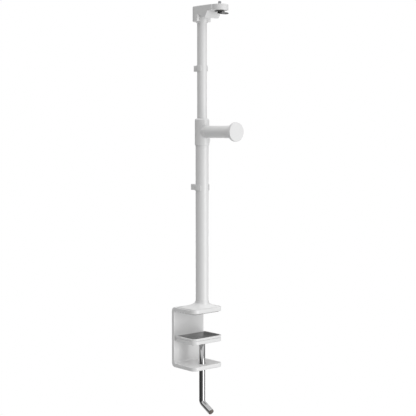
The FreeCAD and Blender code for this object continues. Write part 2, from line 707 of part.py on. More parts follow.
PARTS = {
    "clamp_bracket": clamp_bracket,
    "desk_pad": desk_pad,
    "foot_bolt": foot_bolt,
    "spindle_nut": spindle_nut,
    "jaw_rim": jaw_rim,
    "jaw_pad": jaw_pad,
    "jaw_body": jaw_body,
    "jaw_screws": jaw_screws,
    "thrust_washer": thrust_washer,
    "spindle": spindle,
    "spindle_plug": spindle_plug,
    "spindle_circlip": spindle_circlip,
    "pole_foot": pole_foot,
    "foot_plug": foot_plug,
    "lower_tube": lower_tube,
    "guide_bush": guide_bush,
    "lock_collar": lock_collar,
    "collar_clamp_screw": collar_clamp_screw,
    "brake_shoe": brake_shoe,
    "handle_washer": handle_washer,
    "handle_grip": handle_grip,
    "handle_flange": handle_flange,
    "handle_stud": handle_stud,
    "lower_cable_clip": lambda: cable_clip(lower_tube_r, lower_clip_z, lower_clip_lug_y),
    "upper_cable_clip": lambda: cable_clip(upper_tube_r, upper_clip_z, upper_clip_lug_y),
    "upper_tube": upper_tube,
    "slider_bush": slider_bush,
    "tube_end_plug": tube_end_plug,
    "swivel_insert": swivel_insert,
    "swivel_collar": swivel_collar,
    "swivel_bolt": swivel_bolt,
    "friction_washer": friction_washer,
    "washer_seat": washer_seat,
    "head_housing": head_housing,
    "head_cap": head_cap,
    "swivel_lock_screw": swivel_lock_screw,
    "mount_stud": mount_stud,
    "thumb_wheel": thumb_wheel,
    "wheel_washer": wheel_washer,
    "d_ring": d_ring,
}

os.makedirs("parts", exist_ok=True)
for node, make in PARTS.items():
    save(make(), node)
print("wrote", len(PARTS), "sub-parts")
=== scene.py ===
import json
import math

import bmesh
import bpy
from mathutils import Matrix, Vector


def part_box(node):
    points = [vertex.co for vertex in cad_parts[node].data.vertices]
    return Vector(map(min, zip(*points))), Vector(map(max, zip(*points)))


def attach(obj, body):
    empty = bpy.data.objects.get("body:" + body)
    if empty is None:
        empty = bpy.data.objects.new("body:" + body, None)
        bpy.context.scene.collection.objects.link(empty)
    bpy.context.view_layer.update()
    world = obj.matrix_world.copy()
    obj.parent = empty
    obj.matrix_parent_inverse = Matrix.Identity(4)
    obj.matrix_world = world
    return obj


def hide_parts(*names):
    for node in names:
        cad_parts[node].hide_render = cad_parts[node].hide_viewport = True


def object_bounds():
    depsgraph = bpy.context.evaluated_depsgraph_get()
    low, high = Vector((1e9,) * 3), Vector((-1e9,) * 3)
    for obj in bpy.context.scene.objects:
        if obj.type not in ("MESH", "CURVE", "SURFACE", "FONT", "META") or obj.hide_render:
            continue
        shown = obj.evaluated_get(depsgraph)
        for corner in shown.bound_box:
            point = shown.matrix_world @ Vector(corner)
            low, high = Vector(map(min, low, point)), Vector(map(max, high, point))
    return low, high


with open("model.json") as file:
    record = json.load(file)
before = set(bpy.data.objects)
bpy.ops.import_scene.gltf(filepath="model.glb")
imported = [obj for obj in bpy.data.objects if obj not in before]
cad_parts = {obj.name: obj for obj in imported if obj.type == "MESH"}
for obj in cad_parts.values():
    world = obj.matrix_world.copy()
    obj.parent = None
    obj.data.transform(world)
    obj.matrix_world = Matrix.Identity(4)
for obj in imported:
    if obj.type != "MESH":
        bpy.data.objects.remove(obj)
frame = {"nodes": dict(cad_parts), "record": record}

# Looks of the desk-clamp telescopic pole: finishes, detailed pieces, floor, light and camera.

CAD_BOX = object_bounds()
MM = 0.001
TURN = 2.0 * math.pi


# =============================================================================
# Node helpers
# =============================================================================
def link(tree, source, target):
    """Join an output socket to an input socket."""
    tree.links.new(source, target)


def add_node(tree, kind, **settings):
    """A shader node with its settings and, under the key 'inputs', its socket values."""
    node = tree.nodes.new(kind)
    for name, value in settings.pop("inputs", {}).items():
        node.inputs[name].default_value = value
    for name, value in settings.items():
        setattr(node, name, value)
    return node


def new_group(name, inputs, outputs):
    """An empty shader node group: inputs are (name, type, value), outputs are (name, type)."""
    tree = bpy.data.node_groups.new(name, "ShaderNodeTree")
    for label, kind, value in inputs:
        socket = tree.interface.new_socket(name=label, in_out="INPUT", socket_type=kind)
        socket.default_value = value
    for label, kind in outputs:
        tree.interface.new_socket(name=label, in_out="OUTPUT", socket_type=kind)
    return tree, tree.nodes.new("NodeGroupInput"), tree.nodes.new("NodeGroupOutput")


FLOAT, COLOR, VECTOR = "NodeSocketFloat", "NodeSocketColor", "NodeSocketVector"


def build_tone_drift():
    """Slow change between two shades of a finish, with a finer cloud over it."""
    tree, given, out = new_group(
        "tone_drift",
        [("Shade A", COLOR, (0.8, 0.8, 0.8, 1)), ("Shade B", COLOR, (0.7, 0.7, 0.7, 1)),
         ("Scale", FLOAT, 12.0)],
        [("Color", COLOR)])
    where = add_node(tree, "ShaderNodeTexCoord")
    cloud = add_node(tree, "ShaderNodeTexNoise", inputs={"Detail": 5.0, "Roughness": 0.6})
    mix = add_node(tree, "ShaderNodeMix", data_type="RGBA")
    link(tree, where.outputs["Object"], cloud.inputs["Vector"])
    link(tree, given.outputs["Scale"], cloud.inputs["Scale"])
    link(tree, cloud.outputs["Fac"], mix.inputs[0])
    link(tree, given.outputs["Shade A"], mix.inputs[6])
    link(tree, given.outputs["Shade B"], mix.inputs[7])
    link(tree, mix.outputs[2], out.inputs["Color"])
    return tree


def build_coat_texture():
    """Fine dimpled skin of a sprayed or moulded surface, as a normal."""
    tree, given, out = new_group(
        "coat_texture",
        [("Scale", FLOAT, 900.0), ("Depth", FLOAT, 0.05), ("Swell", FLOAT, 0.02)],
        [("Normal", VECTOR)])
    where = add_node(tree, "ShaderNodeTexCoord")
    fine = add_node(tree, "ShaderNodeTexNoise", inputs={"Detail": 2.0, "Roughness": 0.5})
    broad = add_node(tree, "ShaderNodeTexNoise", inputs={"Scale": 90.0, "Detail": 1.0})
    small = add_node(tree, "ShaderNodeBump", inputs={"Distance": 0.0002})
    large = add_node(tree, "ShaderNodeBump", inputs={"Distance": 0.001})
    link(tree, where.outputs["Object"], fine.inputs["Vector"])
    link(tree, where.outputs["Object"], broad.inputs["Vector"])
    link(tree, given.outputs["Scale"], fine.inputs["Scale"])
    link(tree, given.outputs["Swell"], large.inputs["Strength"])
    link(tree, given.outputs["Depth"], small.inputs["Strength"])
    link(tree, broad.outputs["Fac"], large.inputs["Height"])
    link(tree, fine.outputs["Fac"], small.inputs["Height"])
    link(tree, large.outputs["Normal"], small.inputs["Normal"])
    link(tree, small.outputs["Normal"], out.inputs["Normal"])
    return tree


def build_edge_wear():
    """Mask of convex and concave edges, broken up by noise; it marks worn edges on coated finishes and a
    painted sheen along the edges of bare metal.
    """
    tree, given, out = new_group(
        "edge_wear",
        [("Radius", FLOAT, 0.0006), ("Amount", FLOAT, 0.5), ("Scale", FLOAT, 220.0)],
        [("Mask", FLOAT)])
    shape = add_node(tree, "ShaderNodeNewGeometry")
    rounded = add_node(tree, "ShaderNodeBevel", samples=4)
    facing = add_node(tree, "ShaderNodeVectorMath", operation="DOT_PRODUCT")
    edge = add_node(tree, "ShaderNodeMapRange",
                    inputs={"From Min": 0.995, "From Max": 0.93, "To Min": 0.0, "To Max": 1.0})
    where = add_node(tree, "ShaderNodeTexCoord")
    chips = add_node(tree, "ShaderNodeTexNoise", inputs={"Detail": 6.0, "Roughness": 0.7})
    broken = add_node(tree, "ShaderNodeMapRange", inputs={"From Min": 0.42, "From Max": 0.62})
    worn = add_node(tree, "ShaderNodeMath", operation="MULTIPLY")
    scaled = add_node(tree, "ShaderNodeMath", operation="MULTIPLY", use_clamp=True)
    link(tree, given.outputs["Radius"], rounded.inputs["Radius"])
    link(tree, rounded.outputs["Normal"], facing.inputs[0])
    link(tree, shape.outputs["Normal"], facing.inputs[1])
    link(tree, facing.outputs["Value"], edge.inputs["Value"])
    link(tree, where.outputs["Object"], chips.inputs["Vector"])
    link(tree, given.outputs["Scale"], chips.inputs["Scale"])
    link(tree, chips.outputs["Fac"], broken.inputs["Value"])
    link(tree, edge.outputs["Result"], worn.inputs[0])
    link(tree, broken.outputs["Result"], worn.inputs[1])
    link(tree, worn.outputs["Value"], scaled.inputs[0])
    link(tree, given.outputs["Amount"], scaled.inputs[1])
    link(tree, scaled.outputs["Value"], out.inputs["Mask"])
    return tree


def build_settled_dust():
    """Mask of faint dust on faces that look upwards."""
    tree, given, out = new_group(
        "settled_dust",
        [("Amount", FLOAT, 0.2), ("Scale", FLOAT, 60.0)],
        [("Mask", FLOAT)])
    shape = add_node(tree, "ShaderNodeNewGeometry")
    split = add_node(tree, "ShaderNodeSeparateXYZ")
    upward = add_node(tree, "ShaderNodeMapRange", inputs={"From Min": 0.55, "From Max": 0.98})
    where = add_node(tree, "ShaderNodeTexCoord")
    patches = add_node(tree, "ShaderNodeTexNoise", inputs={"Detail": 8.0, "Roughness": 0.75})
    spread = add_node(tree, "ShaderNodeMapRange", inputs={"From Min": 0.4, "From Max": 0.75})
    lying = add_node(tree, "ShaderNodeMath", operation="MULTIPLY")
    scaled = add_node(tree, "ShaderNodeMath", operation="MULTIPLY", use_clamp=True)
    link(tree, shape.outputs["Normal"], split.inputs["Vector"])
    link(tree, split.outputs["Z"], upward.inputs["Value"])
    link(tree, where.outputs["Object"], patches.inputs["Vector"])
    link(tree, given.outputs["Scale"], patches.inputs["Scale"])
    link(tree, patches.outputs["Fac"], spread.inputs["Value"])
    link(tree, upward.outputs["Result"], lying.inputs[0])
    link(tree, spread.outputs["Result"], lying.inputs[1])
    link(tree, lying.outputs["Value"], scaled.inputs[0])
    link(tree, given.outputs["Amount"], scaled.inputs[1])
    link(tree, scaled.outputs["Value"], out.inputs["Mask"])
    return tree


def build_handling_marks():
    """Roughness that changes between a wiped and a handled value."""
    tree, given, out = new_group(
        "handling_marks",
        [("Smooth", FLOAT, 0.3), ("Dull", FLOAT, 0.42), ("Scale", FLOAT, 35.0)],
        [("Roughness", FLOAT)])
    where = add_node(tree, "ShaderNodeTexCoord")
    smears = add_node(tree, "ShaderNodeTexNoise", inputs={"Detail": 4.0, "Distortion": 0.8})
    spread = add_node(tree, "ShaderNodeMapRange", inputs={"From Min": 0.35, "From Max": 0.65})
    link(tree, where.outputs["Object"], smears.inputs["Vector"])
    link(tree, given.outputs["Scale"], smears.inputs["Scale"])
    link(tree, smears.outputs["Fac"], spread.inputs["Value"])
    link(tree, given.outputs["Smooth"], spread.inputs["To Min"])
    link(tree, given.outputs["Dull"], spread.inputs["To Max"])
    link(tree, spread.outputs["Result"], out.inputs["Roughness"])
    return tree


def build_turning_marks():
    """Fine rings left by turning or polishing along the upright axis, as a normal."""
    tree, given, out = new_group(
        "turning_marks",
        [("Pitch Scale", FLOAT, 2500.0), ("Depth", FLOAT, 0.05)],
        [("Normal", VECTOR)])
    where = add_node(tree, "ShaderNodeTexCoord")
    squeeze = add_node(tree, "ShaderNodeVectorMath", operation="MULTIPLY")
    squeeze.inputs[1].default_value = (0.02, 0.02, 1.0)
    rings = add_node(tree, "ShaderNodeTexNoise", inputs={"Detail": 3.0})
    bump = add_node(tree, "ShaderNodeBump", inputs={"Distance": 0.0001})
    link(tree, where.outputs["Object"], squeeze.inputs[0])
    link(tree, squeeze.outputs["Vector"], rings.inputs["Vector"])
    link(tree, given.outputs["Pitch Scale"], rings.inputs["Scale"])
    link(tree, given.outputs["Depth"], bump.inputs["Strength"])
    link(tree, rings.outputs["Fac"], bump.inputs["Height"])
    link(tree, bump.outputs["Normal"], out.inputs["Normal"])
    return tree


GROUPS = {build.__name__[6:]: build() for build in (
    build_tone_drift, build_coat_texture, build_edge_wear,
    build_settled_dust, build_handling_marks, build_turning_marks)}


# =============================================================================
# Finishes
# =============================================================================
def place_group(tree, name, **values):
    """Put one of the shared groups in a material, with its own values."""
    node = tree.nodes.new("ShaderNodeGroup")
    node.node_tree = GROUPS[name]
    for label, value in values.items():
        node.inputs[label.replace("_", " ")].default_value = value
    return node


def rgb(value, tint=(1.0, 1.0, 1.0)):
    """A grey of one brightness, tinted."""
    return (value * tint[0], value * tint[1], value * tint[2], 1.0)


def new_finish(name, **sockets):
    """A material with its Principled shader's fixed values set."""
    finish = bpy.data.materials.new(name)
    finish.use_nodes = True
    shader = finish.node_tree.nodes["Principled BSDF"]
    for label, value in sockets.items():
        shader.inputs[label.replace("_", " ")].default_value = value
    return finish, finish.node_tree, shader


def laid_over(tree, base, mask, colour):
    """Colour laid over a base colour by a mask: returns the result's socket."""
    mix = add_node(tree, "ShaderNodeMix", data_type="RGBA")
    mix.inputs[7].default_value = colour
    link(tree, mask, mix.inputs[0])
    link(tree, base, mix.inputs[6])
    return mix.outputs[2]


def coated(name, light, dark, smooth, dull, wear, dust, peel, worn_colour, **sockets):
    """Sprayed or moulded finish: drifting shade, worn edges, dust, smears and a dimpled skin."""
    finish, tree, shader = new_finish(name, **sockets)
    tone = place_group(tree, "tone_drift", Shade_A=light, Shade_B=dark, Scale=9.0)
    edges = place_group(tree, "edge_wear", Radius=0.0005, Amount=wear, Scale=260.0)
    film = place_group(tree, "settled_dust", Amount=dust, Scale=70.0)
    marks = place_group(tree, "handling_marks", Smooth=smooth, Dull=dull, Scale=30.0)
    skin = place_group(tree, "coat_texture", Scale=peel, Depth=0.10, Swell=0.03)
    colour = laid_over(tree, tone.outputs["Color"], edges.outputs["Mask"], worn_colour)
    colour = laid_over(tree, colour, film.outputs["Mask"], rgb(0.62, (1.0, 0.98, 0.94)))
    link(tree, colour, shader.inputs["Base Color"])
    link(tree, marks.outputs["Roughness"], shader.inputs["Roughness"])
    link(tree, skin.outputs["Normal"], shader.inputs["Normal"])
    return finish


def machined(name, light, dark, smooth, dull, ring_scale, ring_depth, **sockets):
    """Bare or plated metal with turning marks, tarnish drift and a painted edge sheen: edges painted in
    the lighter shade.
    """
    finish, tree, shader = new_finish(name, **sockets)
    tone = place_group(tree, "tone_drift", Shade_A=light, Shade_B=dark, Scale=45.0)
    edges = place_group(tree, "edge_wear", Radius=0.0003, Amount=0.5, Scale=500.0)
    marks = place_group(tree, "handling_marks", Smooth=smooth, Dull=dull, Scale=80.0)
    rings = place_group(tree, "turning_marks", Pitch_Scale=ring_scale, Depth=ring_depth)
    # painted sheen: the edge mask paints the metal's edges in the lighter shade, a highlight painted
    # along them
    colour = laid_over(tree, tone.outputs["Color"], edges.outputs["Mask"], light)
    link(tree, colour, shader.inputs["Base Color"])
    link(tree, marks.outputs["Roughness"], shader.inputs["Roughness"])
    link(tree, rings.outputs["Normal"], shader.inputs["Normal"])
    return finish


WHITE_COAT = dict(light=rgb(0.81), dark=rgb(0.77), worn_colour=rgb(0.62))

FINISHES = {
    "stand_paint": coated(
        "white_powder_coat_casting", smooth=0.30, dull=0.40, wear=0.25, dust=0.18, peel=900.0,
        Coat_Weight=0.35, Coat_Roughness=0.22, **WHITE_COAT),
    "jaw_paint": coated(
        "white_powder_coat_jaw", smooth=0.28, dull=0.38, wear=0.25, dust=0.14, peel=900.0,
        Coat_Weight=0.35, Coat_Roughness=0.20, **WHITE_COAT),
    "tube_aluminium": coated(
        "white_powder_coat_tube", smooth=0.32, dull=0.40, wear=0.20, dust=0.10, peel=1100.0,
        Coat_Weight=0.25, Coat_Roughness=0.25, **WHITE_COAT),
    "head_aluminium": coated(
        "white_powder_coat_head", smooth=0.30, dull=0.40, wear=0.30, dust=0.16, peel=1000.0,
        Coat_Weight=0.30, Coat_Roughness=0.22, **WHITE_COAT),
    "grip_plastic": coated(
        "white_moulded_grip", light=rgb(0.82), dark=rgb(0.79), worn_colour=rgb(0.72),
        smooth=0.36, dull=0.48, wear=0.15, dust=0.10, peel=1500.0, Coat_Weight=0.08),
    "clip_plastic": coated(
        "white_moulded_clip", light=rgb(0.80), dark=rgb(0.77), worn_colour=rgb(0.70),
        smooth=0.38, dull=0.50, wear=0.15, dust=0.12, peel=1700.0, Coat_Weight=0.05),
    "pad_rubber": coated(
        "dark_pad_rubber", light=rgb(0.050), dark=rgb(0.036), worn_colour=rgb(0.09),
        smooth=0.26, dull=0.38, wear=0.35, dust=0.05, peel=2200.0, Specular_IOR_Level=0.55,
        Coat_Weight=0.25, Coat_Roughness=0.15),
    "plug_plastic": coated(
        "brown_plug_plastic", light=rgb(0.135, (1.15, 0.92, 0.82)), dark=rgb(0.10, (1.15, 0.9, 0.8)),
        worn_colour=rgb(0.2), smooth=0.35, dull=0.5, wear=0.3, dust=0.05, peel=1500.0),
    "bush_plastic": coated(
        "natural_acetal", light=rgb(0.70, (1.0, 1.0, 0.96)), dark=rgb(0.66, (1.0, 0.99, 0.95)),
        worn_colour=rgb(0.6), smooth=0.3, dull=0.42, wear=0.2, dust=0.0, peel=1600.0,
        Subsurface_Weight=0.05),
    "washer_nylon": coated(
        "natural_nylon", light=rgb(0.78, (1.0, 1.0, 0.96)), dark=rgb(0.72, (1.0, 0.99, 0.95)),
        worn_colour=rgb(0.6), smooth=0.32, dull=0.46, wear=0.2, dust=0.0, peel=1600.0,
        Subsurface_Weight=0.06),
    "black_steel": coated(
        "gloss_black_plating", light=rgb(0.016), dark=rgb(0.010), worn_colour=rgb(0.12),
        smooth=0.12, dull=0.22, wear=0.25, dust=0.03, peel=1400.0,
        Coat_Weight=0.8, Coat_Roughness=0.06),
    "spindle_chrome": machined(
        "bright_chrome", light=rgb(0.50, (1.0, 1.0, 1.01)), dark=rgb(0.46), smooth=0.045, dull=0.09,
        ring_scale=1800.0, ring_depth=0.03, Metallic=1.0),
    "zinc_steel": machined(
        "zinc_plated_steel", light=rgb(0.66, (0.99, 1.0, 1.02)), dark=rgb(0.52, (1.0, 1.0, 1.03)),
        smooth=0.24, dull=0.38, ring_scale=1200.0, ring_depth=0.10, Metallic=1.0),
    "brass": machined(
        "turned_brass", light=rgb(0.72, (1.0, 0.78, 0.40)), dark=rgb(0.55, (1.0, 0.74, 0.36)),
        smooth=0.22, dull=0.34, ring_scale=1500.0, ring_depth=0.12, Metallic=1.0),
}


# =============================================================================
# Mesh helpers
# =============================================================================
def to_mesh(name, shape, sharp_deg=38.0):
    """Finish a bmesh as smooth-shaded mesh data with its true edges kept sharp."""
    bmesh.ops.recalc_face_normals(shape, faces=shape.faces)
    mesh = bpy.data.meshes.new(name)
    shape.to_mesh(mesh)
    shape.free()
    mesh.shade_smooth()
    mesh.set_sharp_from_angle(angle=math.radians(sharp_deg))
    return mesh


def add_piece(name, mesh, body, slot, *nodes):
    """Show a mesh as a piece on a body, in its slot's finish, in place of some CAD nodes."""
    piece = bpy.data.objects.new(name, mesh)
    bpy.context.scene.collection.objects.link(piece)
    mesh.materials.append(FINISHES[slot])
    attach(piece, body)
    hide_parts(*nodes)
    return piece


def bridge(shape, lower, upper):
    """Quads between two rings of vertices of the same length."""
    count = len(lower)
    for k in range(count):
        nxt = (k + 1) % count
        shape.faces.new((lower[k], lower[nxt], upper[nxt], upper[k]))


def stack_rings(shape, rings, join_ends=False):
    """Skin a list of rings of points, and either cap its two ends or join them."""
    made = [[shape.verts.new(p) for p in ring] for ring in rings]
    for lower, upper in zip(made, made[1:]):
        bridge(shape, lower, upper)
    if join_ends:
        bridge(shape, made[-1], made[0])
    else:
        shape.faces.new(list(reversed(made[0])))
        shape.faces.new(made[-1])


def circle(radius, height, count, y=0.0):
    """Points of a level circle about an upright axis at x = 0."""
    return [Vector((radius * math.cos(TURN * k / count), y + radius * math.sin(TURN * k / count),
                    height)) for k in range(count)]


def turn_profile(profile, count=96, closed=False, place=None):
    """Body of revolution about Z from (radius, height) points; closed joins last to first."""
    shape = bmesh.new()
    rings = [circle(radius, height, count) for radius, height in profile]
    stack_rings(shape, rings, join_ends=closed)
    if place is not None:
        bmesh.ops.transform(shape, matrix=place, verts=shape.verts)
    return shape


def corner_arc(centre_r, centre_h, radius, start_deg, end_deg, steps=5):
    """Points of a rounded corner of a profile."""
    points = []
    for k in range(steps + 1):
        angle = math.radians(start_deg + (end_deg - start_deg) * k / steps)
        points.append((centre_r + radius * math.cos(angle), centre_h + radius * math.sin(angle)))
    return points


def rounded_outline(x_half, y0, y1, front_r, rear_r, steps=10):
    """Plan of a plate with rounded corners, anticlockwise from the right front corner."""
    corners = ((x_half - front_r, y0 + front_r, front_r, -90),
               (x_half - rear_r, y1 - rear_r, rear_r, 0),
               (rear_r - x_half, y1 - rear_r, rear_r, 90),
               (front_r - x_half, y0 + front_r, front_r, 180))
    points = []
    for cx, cy, radius, start in corners:
        for k in range(steps + 1):
            angle = math.radians(start + 90.0 * k / steps)
            points.append(Vector((cx + radius * math.cos(angle), cy + radius * math.sin(angle), 0)))
    return points


def inset(outline, depth):
    """Outline moved inwards by depth; outline runs anticlockwise."""
    count = len(outline)
    moved = []
    for k, point in enumerate(outline):
        before = (point - outline[k - 1]).normalized()
        after = (outline[(k + 1) % count] - point).normalized()
        along = (before + after).normalized()
        spread = max(0.5, along.dot(after))
        moved.append(point + Vector((-along.y, along.x, 0)) * (depth / spread))
    return moved


def slab_rings(outline, z0, z1, low_r, high_r, steps=4):
    """Rings of a slab with rounded lower and upper edges."""
    rings = []
    for k in range(steps + 1):
        angle = math.radians(90.0 * k / steps)
        rings.append((inset(outline, low_r * (1 - math.sin(angle))), z0 + low_r * (1 - math.cos(angle))))
    for k in range(steps + 1):
        angle = math.radians(90.0 * k / steps)
        rings.append((inset(outline, high_r * (1 - math.cos(angle))),
                      z1 - high_r * (1 - math.sin(angle))))
    return [[Vector((p.x, p.y, height)) for p in ring] for ring, height in rings]


def sweep(shape, path, radius, count=32, closed=False):
    """Round bar along a path; radius is one number or one per point."""
    radii = radius if isinstance(radius, list) else [radius] * len(path)
    last = len(path) - 1
    rings = []
    side = None
    for k, point in enumerate(path):
        before = path[k - 1] if k or closed else path[0]
        after = path[(k + 1) % len(path)] if k < last or closed else path[last]
        along = (after - before).normalized()
        if side is None:
            side = along.orthogonal().normalized()
        side = (side - along * side.dot(along)).normalized()
        other = along.cross(side)
        rings.append([point + (side * math.cos(TURN * j / count) + other * math.sin(TURN * j / count))
                      * radii[k] for j in range(count)])
    stack_rings(shape, rings, join_ends=closed)


def side_frame(direction, origin):
    """Matrix that lays a body turned about Z along a direction."""
    return Matrix.Translation(origin) @ direction.to_track_quat("Z", "Y").to_matrix().to_4x4()


# =============================================================================
# Carried-over CAD nodes: each gets its slot's finish
# =============================================================================
for row in frame["record"]["subparts"]:
    node = frame["nodes"][row["node"]]
    node.data.materials.clear()
    node.data.materials.append(FINISHES[row["material_slot"]])


# =============================================================================
# Dimensions that the pieces need and a node's box doesn't give
# =============================================================================
CORNER_R = 13.0 * MM                        # plan corners of the clamp and jaw, in front
JAW_REAR_R, PAD_REAR_R = 4.0 * MM, 2.0 * MM
FOOT_INSET, FOOT_REAR_R = 2.4 * MM, 5.0 * MM
FOOT_NECK_WALL, FOOT_LIP = 1.1 * MM, 1.0 * MM

ARM_TILT = math.radians(61.0)               # how far the tommy arm turns forward
ARM_DIRECTION = Vector((0, -math.sin(ARM_TILT), -math.cos(ARM_TILT)))
ARM_BEND_R, SPINDLE_NECK_R, PLUG_R = 9.0 * MM, 4.6 * MM, 5.6 * MM

LOWER_WALL, UPPER_WALL, TUBE_EASE = 1.6 * MM, 1.5 * MM, 0.3 * MM

GRIP_ROOT_R, GRIP_DRAW_IN, GRIP_FLARE = 12.05, 1.25, 1.7     # in mm, along its length
DISC_THICK, DISC_RIM, SPIGOT_R = 6.4 * MM, 1.3 * MM, 2.95 * MM

CLIP_THICK, CLIP_MOUTH = 1.8 * MM, math.radians(56.0)
CLIP_LIP_R, CLIP_LUG_HALF = 1.8 * 0.62 * MM, 4.0 * MM

THREAD_PITCH, THREAD_DEPTH, STUD_NECK_R = 1.0 * MM, 0.55 * MM, 1.8 * MM
WHEEL_TEETH, WHEEL_THICK, HUB_R = 48, 2.0 * MM, 4.4 * MM
RING_HALF, RING_REACH, RING_CORNER, RING_WIRE = 9.5 * MM, 16.5 * MM, 3.0 * MM, 1.0 * MM
RING_TURN, RING_DROOP = math.radians(65.0), math.radians(5.0)


# =============================================================================
# Pieces of the clamp
# =============================================================================
def radius_of(node):
    """Half the width of a round node across X."""
    low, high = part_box(node)
    return (high.x - low.x) / 2


def edge_distance(outline, direction):
    """How far a plan outline lies from the pole's axis in one direction."""
    best = 0.0
    for k, start in enumerate(outline):
        end = outline[(k + 1) % len(outline)]
        along = end - start
        across = direction.x * along.y - direction.y * along.x
        if abs(across) > 1e-12:
            far = (start.x * along.y - start.y * along.x) / across
            part = (start.x * direction.y - start.y * direction.x) / across
            if far > 0 and -1e-6 <= part <= 1 + 1e-6:
                best = max(best, far)
    return best


def plan_trim(node, front_r, rear_r):
    """Tall prism with rounded corners, the width and depth of a CAD node."""
    low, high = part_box(node)
    outline = rounded_outline(high.x + 0.01 * MM, low.y - 0.01 * MM, high.y + 0.01 * MM, front_r, rear_r)
    shape = bmesh.new()
    stack_rings(shape, [[p + Vector((0, 0, z)) for p in outline] for z in (low.z - 0.01, high.z + 0.01)])
    bmesh.ops.recalc_face_normals(shape, faces=shape.faces)
    mesh = bpy.data.meshes.new("plan_trim")
    shape.to_mesh(mesh)
    shape.free()
    return mesh


def make_soft_casting(name, node, voxel, rounds, trim=None):
    """The CAD node's own form with its corners, inner ones too, rounded as sand casting leaves them."""
    source = bpy.data.objects.new(name + "_source", frame["nodes"][node].data.copy())
    bpy.context.scene.collection.objects.link(source)
    helpers = [source]
    if trim is not None:
        cutter = bpy.data.objects.new(name + "_trim", trim)
        bpy.context.scene.collection.objects.link(cutter)
        helpers.append(cutter)
        cut = source.modifiers.new("cut", "BOOLEAN")
        cut.operation, cut.solver, cut.object = "INTERSECT", "EXACT", cutter
    skin = source.modifiers.new("skin", "REMESH")
    skin.mode, skin.voxel_size = "VOXEL", voxel
    ease = source.modifiers.new("ease", "SMOOTH")
    ease.factor, ease.iterations = 0.5, rounds
    view = bpy.context.evaluated_depsgraph_get()
    mesh = bpy.data.meshes.new_from_object(source.evaluated_get(view))
    for helper in helpers:
        data = helper.data
        bpy.data.objects.remove(helper)
        bpy.data.meshes.remove(data)
    mesh.name = name
    mesh.materials.clear()
    mesh.shade_smooth()
    return mesh


def make_dished_foot():
    """Cast foot: a thin lip, a concave sweep up to the neck, and a rounded neck rim."""
    low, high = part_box("pole_foot")
    outline = rounded_outline(high.x, low.y, high.y, CORNER_R - FOOT_INSET, FOOT_REAR_R)
    tube_r = radius_of("lower_tube")
    neck_r, lip = tube_r + FOOT_NECK_WALL, FOOT_LIP
    count, steps = 144, 22
    rays = [Vector((math.cos(TURN * k / count), math.sin(TURN * k / count), 0)) for k in range(count)]
    reach = [edge_distance(outline, ray) for ray in rays]
    rise = high.z - low.z - lip - 0.6 * MM

    def ring(radii, z):
        return [Vector((ray.x * r, ray.y * r, z)) for ray, r in zip(rays, radii)]

    rings = [ring([r - 0.3 * MM for r in reach], low.z), ring(reach, low.z + 0.3 * MM),
             ring(reach, low.z + lip - 0.4 * MM),
             ring([r - 0.12 * MM for r in reach], low.z + lip - 0.1 * MM),
             ring([r - 0.5 * MM for r in reach], low.z + lip)]
    for k in range(1, steps + 1):
        part = k / steps
        radii = [neck_r + (r - 0.5 * MM - neck_r) * (1 - part) ** 2.2 for r in reach]
        rings.append(ring(radii, low.z + lip + rise * part ** 1.15))
    for radius, z in ((neck_r - 0.15 * MM, high.z - 0.2 * MM), (neck_r - 0.6 * MM, high.z),
                      (tube_r + 0.02 * MM, high.z - 0.1 * MM), (tube_r + 0.02 * MM, low.z + 2.0 * MM)):
        rings.append(ring([radius] * count, z))
    shape = bmesh.new()
    stack_rings(shape, rings)
    return to_mesh("dished_foot", shape, 50)


def make_slab(name, node, front_r, rear_r, low_r, high_r):
    """Plate the size of a CAD node, with every edge rounded."""
    low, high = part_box(node)
    outline = rounded_outline(high.x, low.y, high.y, front_r, rear_r)
    shape = bmesh.new()
    stack_rings(shape, slab_rings(outline, low.z, high.z, low_r, high_r))
    return to_mesh(name, shape)


def arm_end():
    """Centre of the tommy arm's end face, from the plug that closes it."""
    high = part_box("spindle_plug")[1]
    return Vector((0, high.y - PLUG_R * math.cos(ARM_TILT), high.z - PLUG_R * math.sin(ARM_TILT)))


def make_spindle():
    """Clamp screw: turned neck and shoulder in the jaw, plated shank, and bent tommy arm."""
    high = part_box("spindle")[1]
    radius = radius_of("spindle")
    shoulder_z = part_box("jaw_body")[0].z - 1.0 * MM
    bend_r, neck_r, end = ARM_BEND_R, SPINDLE_NECK_R, arm_end()
    bend_end_y = -bend_r * (1 - math.cos(ARM_TILT))
    run = (end.y - bend_end_y) / ARM_DIRECTION.y
    bend_z = end.z - ARM_DIRECTION.z * run + bend_r * math.sin(ARM_TILT)
    path = [Vector((0, 0, z)) for z in (high.z, high.z - 0.4 * MM, shoulder_z + 0.02 * MM,
                                        shoulder_z, shoulder_z - 0.5 * MM)]
    radii = [neck_r - 0.4 * MM, neck_r, neck_r, radius - 0.5 * MM, radius]
    for k in range(13):
        angle = ARM_TILT * k / 12
        path.append(Vector((0, -bend_r * (1 - math.cos(angle)), bend_z - bend_r * math.sin(angle))))
        radii.append(radius)
    path += [end - ARM_DIRECTION * 0.7 * MM, end - ARM_DIRECTION * 0.2 * MM, end]
    radii += [radius, radius - 0.15 * MM, radius - 0.5 * MM]
    shape = bmesh.new()
    sweep(shape, path, radii, count=64)
    return to_mesh("bent_spindle", shape, 60)


def make_end_plug():
    """Domed plug pressed into the tommy arm, with a small moulded rim."""
    profile = [(0.1, 0), (5.4, 0), (5.6, 0.2), (5.6, 1.1), (5.4, 1.5), (4.9, 1.7), (4.6, 1.6),
               (4.2, 1.9), (3.2, 2.4), (2.0, 2.7), (0.9, 2.9), (0.1, 3.0)]
    place = side_frame(ARM_DIRECTION, arm_end())
    shape = turn_profile([(r * MM, h * MM) for r, h in profile], 48, place=place)
    return to_mesh("end_plug", shape, 50)


